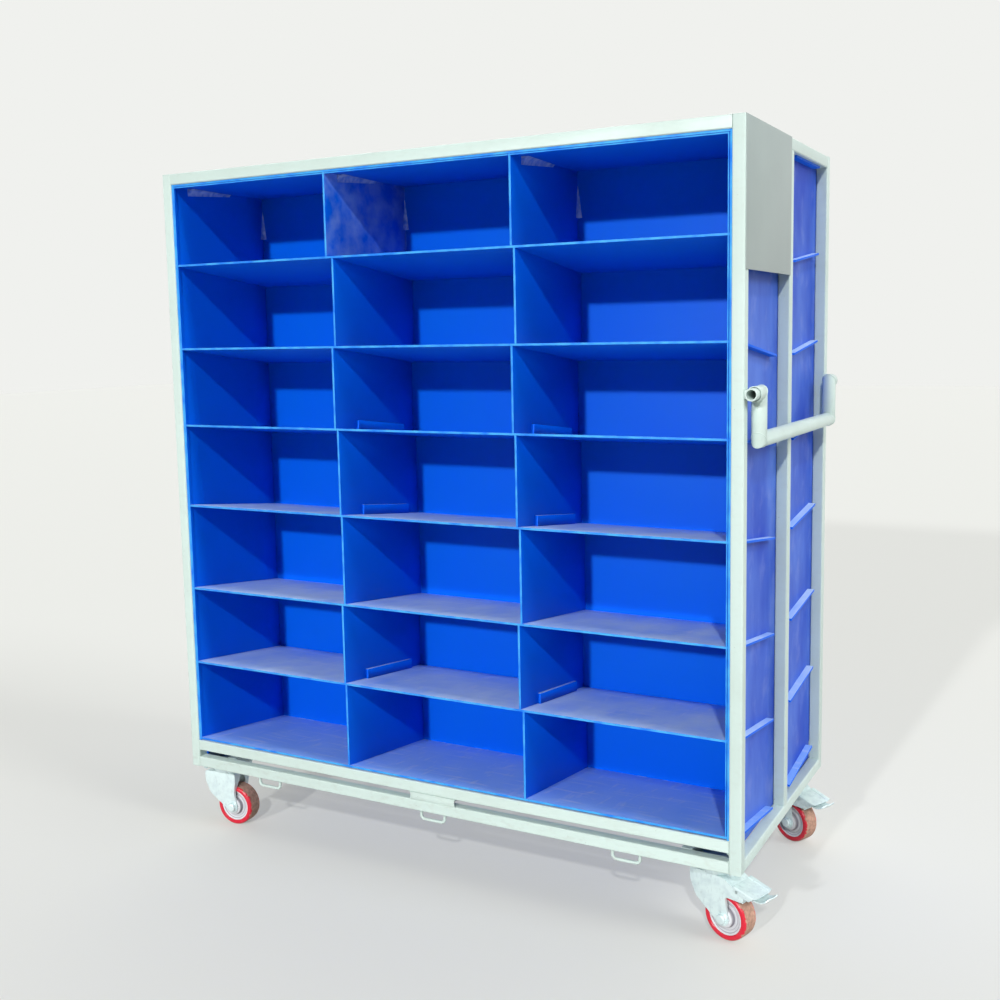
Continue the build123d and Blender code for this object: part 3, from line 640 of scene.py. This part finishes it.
def bentRod(bm, at, shape):  # U of round rod that hangs from a point
    radius, bend = shape["rod"] / 2, shape["bend"]
    half = shape["width"] / 2 - radius
    ring = bmesh.ops.create_circle(bm, segments=shape["sides"], radius=radius * mm,
                                   matrix=Matrix.Translation(at + Vector((-half, 0, 0)) * mm))["verts"]
    last = list({e for v in ring for e in v.link_edges}) + ring
    down = Vector((0, 0, radius + bend - shape["drop"])) * mm
    across = Vector((2 * (half - bend), 0, 0)) * mm
    for move, pivot in ((down, (bend, 0, 0)), (across, (0, 0, bend)), (-down, None)):
        edges = [element for element in last if isinstance(element, bmesh.types.BMEdge)]
        grown = bmesh.ops.extrude_edge_only(bm, edges=edges)["geom"]
        bmesh.ops.translate(bm, vec=move, verts=vertsOf(grown))
        last = vertsOf(grown) + [element for element in grown if isinstance(element, bmesh.types.BMEdge)
                                 and len(element.link_faces) < 2]
        if pivot:
            middle = sum((vert.co for vert in vertsOf(last)), Vector()) / shape["sides"]
            last = bmesh.ops.spin(bm, geom=last, cent=middle + Vector(pivot) * mm, axis=(0, -1, 0),
                                  angle=math.pi / 2, steps=shape["bendSteps"])["geom_last"]
    for end in (-half, half):
        bead = spinRing(bm, [(radius + out, up) for out, up in shape["bead"]], shape["beadSteps"], zAxis)
        bmesh.ops.translate(bm, vec=at + Vector((end, 0, 0)) * mm, verts=bead)


def makeLoops(shape):
    for side, depth in (("front", shape["in"]), ("rear", steel["depth"] - shape["in"])):
        bm = bmesh.new()
        for share in shape["shares"]:
            bentRod(bm, place(share * steel["width"], depth, 0), shape)
        piece = finishMesh(bm, side + "Loops", "root", "white_paint", sharp=60)
        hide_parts(side + "_loops")


nuts = {"flats": 17, "high": 8, "washer": 24, "washerThick": 2, "washerSides": 24, "stud": 10, "studHigh": 3,
        "studSides": 16, "spacing": (100, 90), "top": 10, "edge": 0.5}


def makeNuts(n):
    stack = ((n["washer"] / 2, n["washerThick"], n["washerSides"]), (hexRadius(n["flats"]), n["high"], 6),
             (n["stud"] / 2, n["studHigh"], n["studSides"]))
    bm = bmesh.new()
    for name in castors:
        middle = Vector(joints[name + "_swivel"]["pos_m"])
        for x, y in ((-0.5, -0.5), (-0.5, 0.5), (0.5, -0.5), (0.5, 0.5)):
            spot = Vector((middle.x + x * n["spacing"][0] * mm, middle.y + y * n["spacing"][1] * mm,
                           corner.z))
            low = n["top"]
            for radius, high, sides in stack:  # each below the one before
                addBar(bm, radius, high, sides,
                       Matrix.Translation(spot - Vector((0, 0, low + high / 2)) * mm), n["edge"])
                low += high
    piece = finishMesh(bm, "castorNuts", "root", "zinc")
    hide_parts("castor_studs")


# Weld beads round the mitred corners of the handle. Part of each bead's radius is sunk into the pipe
handleWeld = {"pipe": 38, "armInset": 60, "drop": 112, "bead": 1.2, "sunk": 0.2, "sides": 8, "steps": 40}


def makeHandleWelds(h):
    pivot = Vector(joints["handle_swing"]["pos_m"])
    across = steel["depth"] / 2 - h["armInset"]
    angles = [math.tau * i / h["sides"] for i in range(h["sides"])]
    bead = [(h["pipe"] / 2 + h["bead"] * (math.cos(t) - h["sunk"]), h["bead"] * math.sin(t)) for t in angles]
    corners = [(side, drop) for side in (-1, 1) for drop in (0, h["drop"])]
    for number, (side, drop) in enumerate(corners):
        bm = bmesh.new()
        spinRing(bm, bead, h["steps"], zAxis)
        lean = side * (1 if drop else -1) * math.pi / 4
        matrix = (Matrix.Translation(pivot + Vector((0, side * across, -drop)) * mm)
                  @ Matrix.Rotation(lean, 4, "X") @ Matrix.Diagonal((1, math.sqrt(2), 1, 1)))
        finishMesh(bm, "handleWeld" + str(number), "handle", "white_paint", matrix, sharp=80)


# Rounded corners of the slots between the base rails, beside the posts and the centre plate
slotCorner = {"round": 6, "steps": 6, "thick": 2, "plate": 145, "in": 0.1}


def makeSlotCorners(s):
    low, high = steel["tube"], steel["tube"] + steel["baseSlot"]
    middle = steel["width"] / 2
    ends = [(steel["tube"], 1), (middle - s["plate"] / 2, -1), (middle + s["plate"] / 2, 1),
            (steel["width"] - steel["tube"], -1)]
    for side, y, inward in (("front", s["in"], 1), ("rear", steel["depth"] - s["in"], -1)):
        bm = bmesh.new()
        for (x, sx), (z, sz) in ((end, row) for end in ends for row in ((low, 1), (high, -1))):
            outline = [place(x + sx * a, y, z + sz * b)
                       for a, b in [(0, 0)] + quarterArc(s["round"], s["steps"])]
            extrudeOutline(bm, outline, (0, inward * s["thick"] * mm, 0))
        finishMesh(bm, side + "SlotCorners", "root", "white_paint")


# Scraps of tape left in the corners of the top row's compartments, with places in mm from each opening's box
scraps = {"row": 7, "columns": (1, 2, 3), "ceiling": {"from": 60, "to": 250, "widths": (22, 7)},
          "sliver": {"from": 130, "to": 40, "widths": (14, 2)}, "margin": 1.2, "steps": 4}


def cornerStrip(bm, start, end, sides, widths, steps):  # concave strip in the corner of two faces
    outline = [start + (sides[0] * a + sides[1] * b) * widths[0] * mm
               for a, b in [(0, 0)] + quarterArc(1, steps)]
    for vert in extrudeOutline(bm, outline, end - start):
        vert.co = end + (vert.co - end) * (widths[1] / widths[0])


def makeScraps(s):
    right, forward, down = Vector((1, 0, 0)), Vector((0, -1, 0)), Vector((0, 0, -1))
    strip, sliver, margin = s["ceiling"], s["sliver"], s["margin"] * mm
    bm = bmesh.new()
    for column in s["columns"]:
        low, high = openings["front_compartment_row_" + str(s["row"]) + "_column_" + str(column)]
        left, top, back = low[0] - margin, high[2] + margin, high[1] + margin
        start, end = (Vector((left, low[1] + strip[key] * mm, top)) for key in ("from", "to"))
        cornerStrip(bm, start, end, (right, down), strip["widths"], s["steps"])
        start, end = (Vector((left, back, top - sliver[key] * mm)) for key in ("from", "to"))
        cornerStrip(bm, start, end, (right, forward), sliver["widths"], s["steps"])
    piece = finishMesh(bm, "tapeScraps", "root", "blue_sheet")
    piece.data.materials[0] = tapeFinish


# Folded strip of sheet that doubles the edge of each long side's opening at the sides and top, and stands on
# the same level as the opening that foot names
lining = {"gap": 1.2, "thick": 3.5, "deep": 9, "ahead": 1, "foot": "front_compartment_row_1_column_1"}


def makeLinings(s):
    underside, upperFace = (point[2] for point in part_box("top_panels"))
    inset = upperFace - underside + s["gap"] * mm
    foot = openings[s["foot"]][0][2]
    start = blueSheet["setback"] - s["ahead"]
    end = start + s["deep"]
    for side, depths in (("front", (start, end)), ("rear", (steel["depth"] - start, steel["depth"] - end))):
        low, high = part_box(side + "_side_panels")
        left, right, top = low[0] + inset, high[0] - inset, underside - s["gap"] * mm
        path = ((left, foot), (left, top), (right, top), (right, foot))
        bm = bmesh.new()
        near, far = ([bm.verts.new((x, place(0, depth, 0).y, z)) for x, z in path] for depth in depths)
        for i in range(len(path) - 1):
            bm.faces.new((near[i], near[i + 1], far[i + 1], far[i]))
        finishMesh(bm, side + "Lining", "root", "blue_sheet", wall=s["thick"])


print("loops, nuts and welds")
makeLinings(lining)
makeScraps(scraps)
makeLoops(loop)
makeNuts(nuts)
makeHandleWelds(handleWeld)
makeSlotCorners(slotCorner)

# Found from the straight edges of the photographed frame. The clip distance is in metres
camera = {"place": (2618.1, -2710.7, 1346.1), "yaw": 28.2068, "pitch": -6.9289, "roll": -1.0397,
          "focalPixels": 1175.12, "imageWidth": 1000, "centre": (508.04, 478.09), "sensor": 36, "clip": 100}


def makeCamera(c):
    data = bpy.data.cameras.new("photoView")
    data.sensor_width = c["sensor"]
    data.lens = c["sensor"] * c["focalPixels"] / c["imageWidth"]
    data.shift_x = (c["imageWidth"] / 2 - c["centre"][0]) / c["imageWidth"]
    data.shift_y = (c["centre"][1] - c["imageWidth"] / 2) / c["imageWidth"]
    data.clip_end = c["clip"]
    viewer = bpy.data.objects.new("photoView", data)
    bpy.context.scene.collection.objects.link(viewer)
    turn = (Matrix.Rotation(math.radians(c["yaw"]), 4, "Z")
            @ Matrix.Rotation(math.radians(90 + c["pitch"]), 4, "X")
            @ Matrix.Rotation(math.radians(c["roll"]), 4, "Z"))
    viewer.matrix_world = Matrix.Translation(place(*c["place"])) @ turn
    bpy.context.scene.camera = viewer


lamps = (  # where each shines from, its irradiance in W/m2 and its apparent width in degrees
    {"name": "keyRight", "from": (0.42, -1, 0.71), "strength": 1.35, "spread": 2},
    {"name": "keyFront", "from": (-0.055, -1, 0.343), "strength": 1.7, "spread": 2},
    {"name": "sideRight", "from": (1, -0.05, 0.7), "strength": 1.25, "spread": 24})


def makeLamp(lamp):
    data = bpy.data.lights.new(lamp["name"], "SUN")
    data.angle = math.radians(lamp["spread"])
    data.energy = lamp["strength"]
    holder = bpy.data.objects.new(lamp["name"], data)
    bpy.context.scene.collection.objects.link(holder)
    holder.rotation_mode = "QUATERNION"
    holder.rotation_quaternion = Vector(lamp["from"]).to_track_quat("Z", "Y")


# The sky's light grows from ambient in front of the trolley to behind, which it has where the direction's
# part along Y is behindFrom or more. The floor's size is in metres
studio = {"floor": "B9BAB6", "floorGlow": "EDEEEA", "glow": 0.36, "floorRoughness": 0.9, "floorSize": 60,
          "sky": "FFFFFF", "backdrop": "F0F1EE", "ambient": 0.04, "behind": 1.05, "behindFrom": 0.5,
          "bounces": 2}


def seenDirectly(tree):  # 1 for what the camera, a reflection or glass shows, and 0 for light on the object
    ray = addNode(tree, "LightPath").outputs
    gloss = addNode(tree, "Math", (ray["Is Camera Ray"], ray["Is Glossy Ray"]), operation="MAXIMUM")
    return addNode(tree, "Math", (gloss, ray["Is Transmission Ray"]), operation="MAXIMUM")


def makeFloor(s):
    bm = bmesh.new()
    bmesh.ops.create_grid(bm, x_segments=1, y_segments=1, size=s["floorSize"] / 2)
    mesh = bpy.data.meshes.new("floor")
    bm.to_mesh(mesh)
    bm.free()
    floor = bpy.data.objects.new("floor", mesh)
    bpy.context.scene.collection.objects.link(floor)
    material, tree, shader, coords = startMaterial("matStudioFloor")
    glow = whereAll(tree, seenDirectly(tree), s["glow"])
    setInputs(tree, shader, {"Base Color": s["floor"], "Roughness": s["floorRoughness"],
                             "Emission Color": s["floorGlow"], "Emission Strength": glow})
    mesh.materials.append(material)


def makeWorld(s):
    world = bpy.data.worlds.new("studio")
    bpy.context.scene.world = world
    world.use_nodes = True
    tree = world.node_tree
    lit = tree.nodes["Background"]
    aim = addNode(tree, "SeparateXYZ", (addNode(tree, "TexCoord").outputs["Generated"],)).outputs["Y"]
    behind = addNode(tree, "MapRange", (aim, 0, s["behindFrom"], s["ambient"], s["behind"]))
    setInputs(tree, lit, {"Color": s["sky"], "Strength": behind})  # soft light for the rear side
    seen = addNode(tree, "Background", {"Color": s["backdrop"], "Strength": 1})
    mix = addNode(tree, "MixShader", (seenDirectly(tree), lit, seen))
    setInputs(tree, tree.nodes["World Output"], {"Surface": mix})


print("camera and light")
makeCamera(camera)
for lamp in lamps:
    makeLamp(lamp)
makeFloor(studio)
makeWorld(studio)
bpy.context.scene.view_settings.view_transform = "Standard"
bpy.context.scene.cycles.diffuse_bounces = studio["bounces"]  # keeps the shade in the deep compartments
